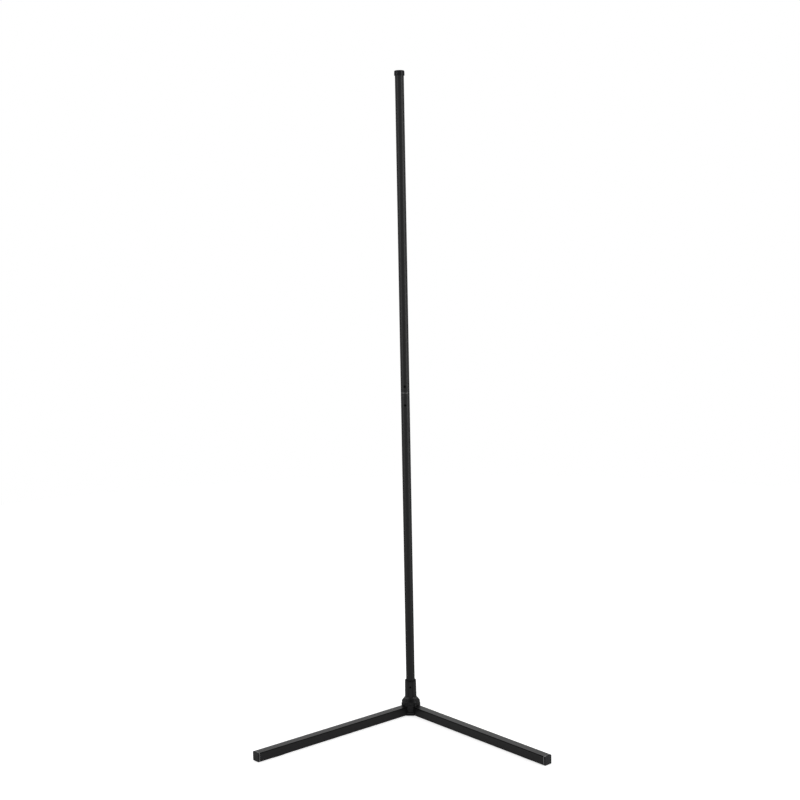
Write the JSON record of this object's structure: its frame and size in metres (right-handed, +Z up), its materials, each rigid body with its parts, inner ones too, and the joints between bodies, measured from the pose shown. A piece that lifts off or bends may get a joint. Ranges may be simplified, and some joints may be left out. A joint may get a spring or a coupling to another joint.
{
  "type": "corner floor lamp",
  "caption": "Slim corner floor lamp: a round black light pole with a long diffuser, turning in the neck of a base with square-tube legs.",
  "frame": {"origin": "on the floor, under the pole's axis, on the underside of the hub's rubber pad", "axes": "+Z up along the pole; +Y into the corner, the way the light faces; the legs run forward at 45 degrees on either side of -Y, the left one towards -X"},
  "size_m": [0.6034, 0.3231, 1.4],
  "materials": {
    "channel_black": "matte black powder coat",
    "tube_black": "satin black powder coat on steel tube",
    "cast_black": "satin black paint on a casting",
    "moulded_black": "satin moulded plastic",
    "collar_black": "matte moulded plastic",
    "cover_black": "matte moulded plastic",
    "upper_lens": "milky satin diffuser, lit magenta through orange to yellow",
    "lower_lens": "milky satin diffuser, lit yellow through green to cyan",
    "strip_white": "matte white flexible circuit",
    "chip_white": "gloss chip body",
    "board_green": "satin circuit board",
    "component_black": "matte component body",
    "connector_white": "satin connector body",
    "contact_brass": "polished contact",
    "sleeve_steel": "satin plated sleeve",
    "screw_black": "satin blackened screw",
    "screw_zinc": "satin zinc-plated screw",
    "bar_aluminium": "satin raw aluminium",
    "wire_red": "satin insulation",
    "lead_black": "satin insulation",
    "pad_rubber": "matte rubber"
  },
  "bodies": {
    "base": {"neck_socket": "cast_black", "neck_bush": "collar_black", "neck_grub_screw": "screw_black", "socket_screws": "screw_zinc", "hub_base": "cast_black", "control_board": "board_green", "board_parts": "component_black", "inlet_jack": "moulded_black", "inlet_pin": "contact_brass", "inlet_wires": "lead_black", "feed_plug": "moulded_black", "feed_lead": "lead_black", "left_leg_tube": "tube_black", "right_leg_tube": "tube_black", "left_leg_plug": "moulded_black", "right_leg_plug": "moulded_black", "leg_screws": "screw_zinc", "base_cover": "cover_black", "cover_screws": "screw_zinc", "hub_pad": "pad_rubber", "leg_pads": "pad_rubber"},
    "pole": {"top_cap": "moulded_black", "upper_channel": "channel_black", "lower_channel": "channel_black", "upper_diffuser": "upper_lens", "lower_diffuser": "lower_lens", "joiner_bar": "bar_aluminium", "joiner_screws": "screw_black", "upper_light_strip": "strip_white", "upper_light_chips": "chip_white", "lower_light_strip": "strip_white", "lower_light_chips": "chip_white", "seam_socket": "connector_white", "seam_plug": "connector_white", "seam_pins": "contact_brass", "pole_foot": "moulded_black", "feed_socket": "sleeve_steel", "feed_pin": "contact_brass", "pole_wires": "wire_red"}
  },
  "joints": [
    {"name": "pole_swivel", "type": "hinge", "parent": "base", "child": "pole", "pos_m": [0, 0, 0.036], "axis": [0, 0, 1], "range_deg": [-90, 90]}
  ]
}
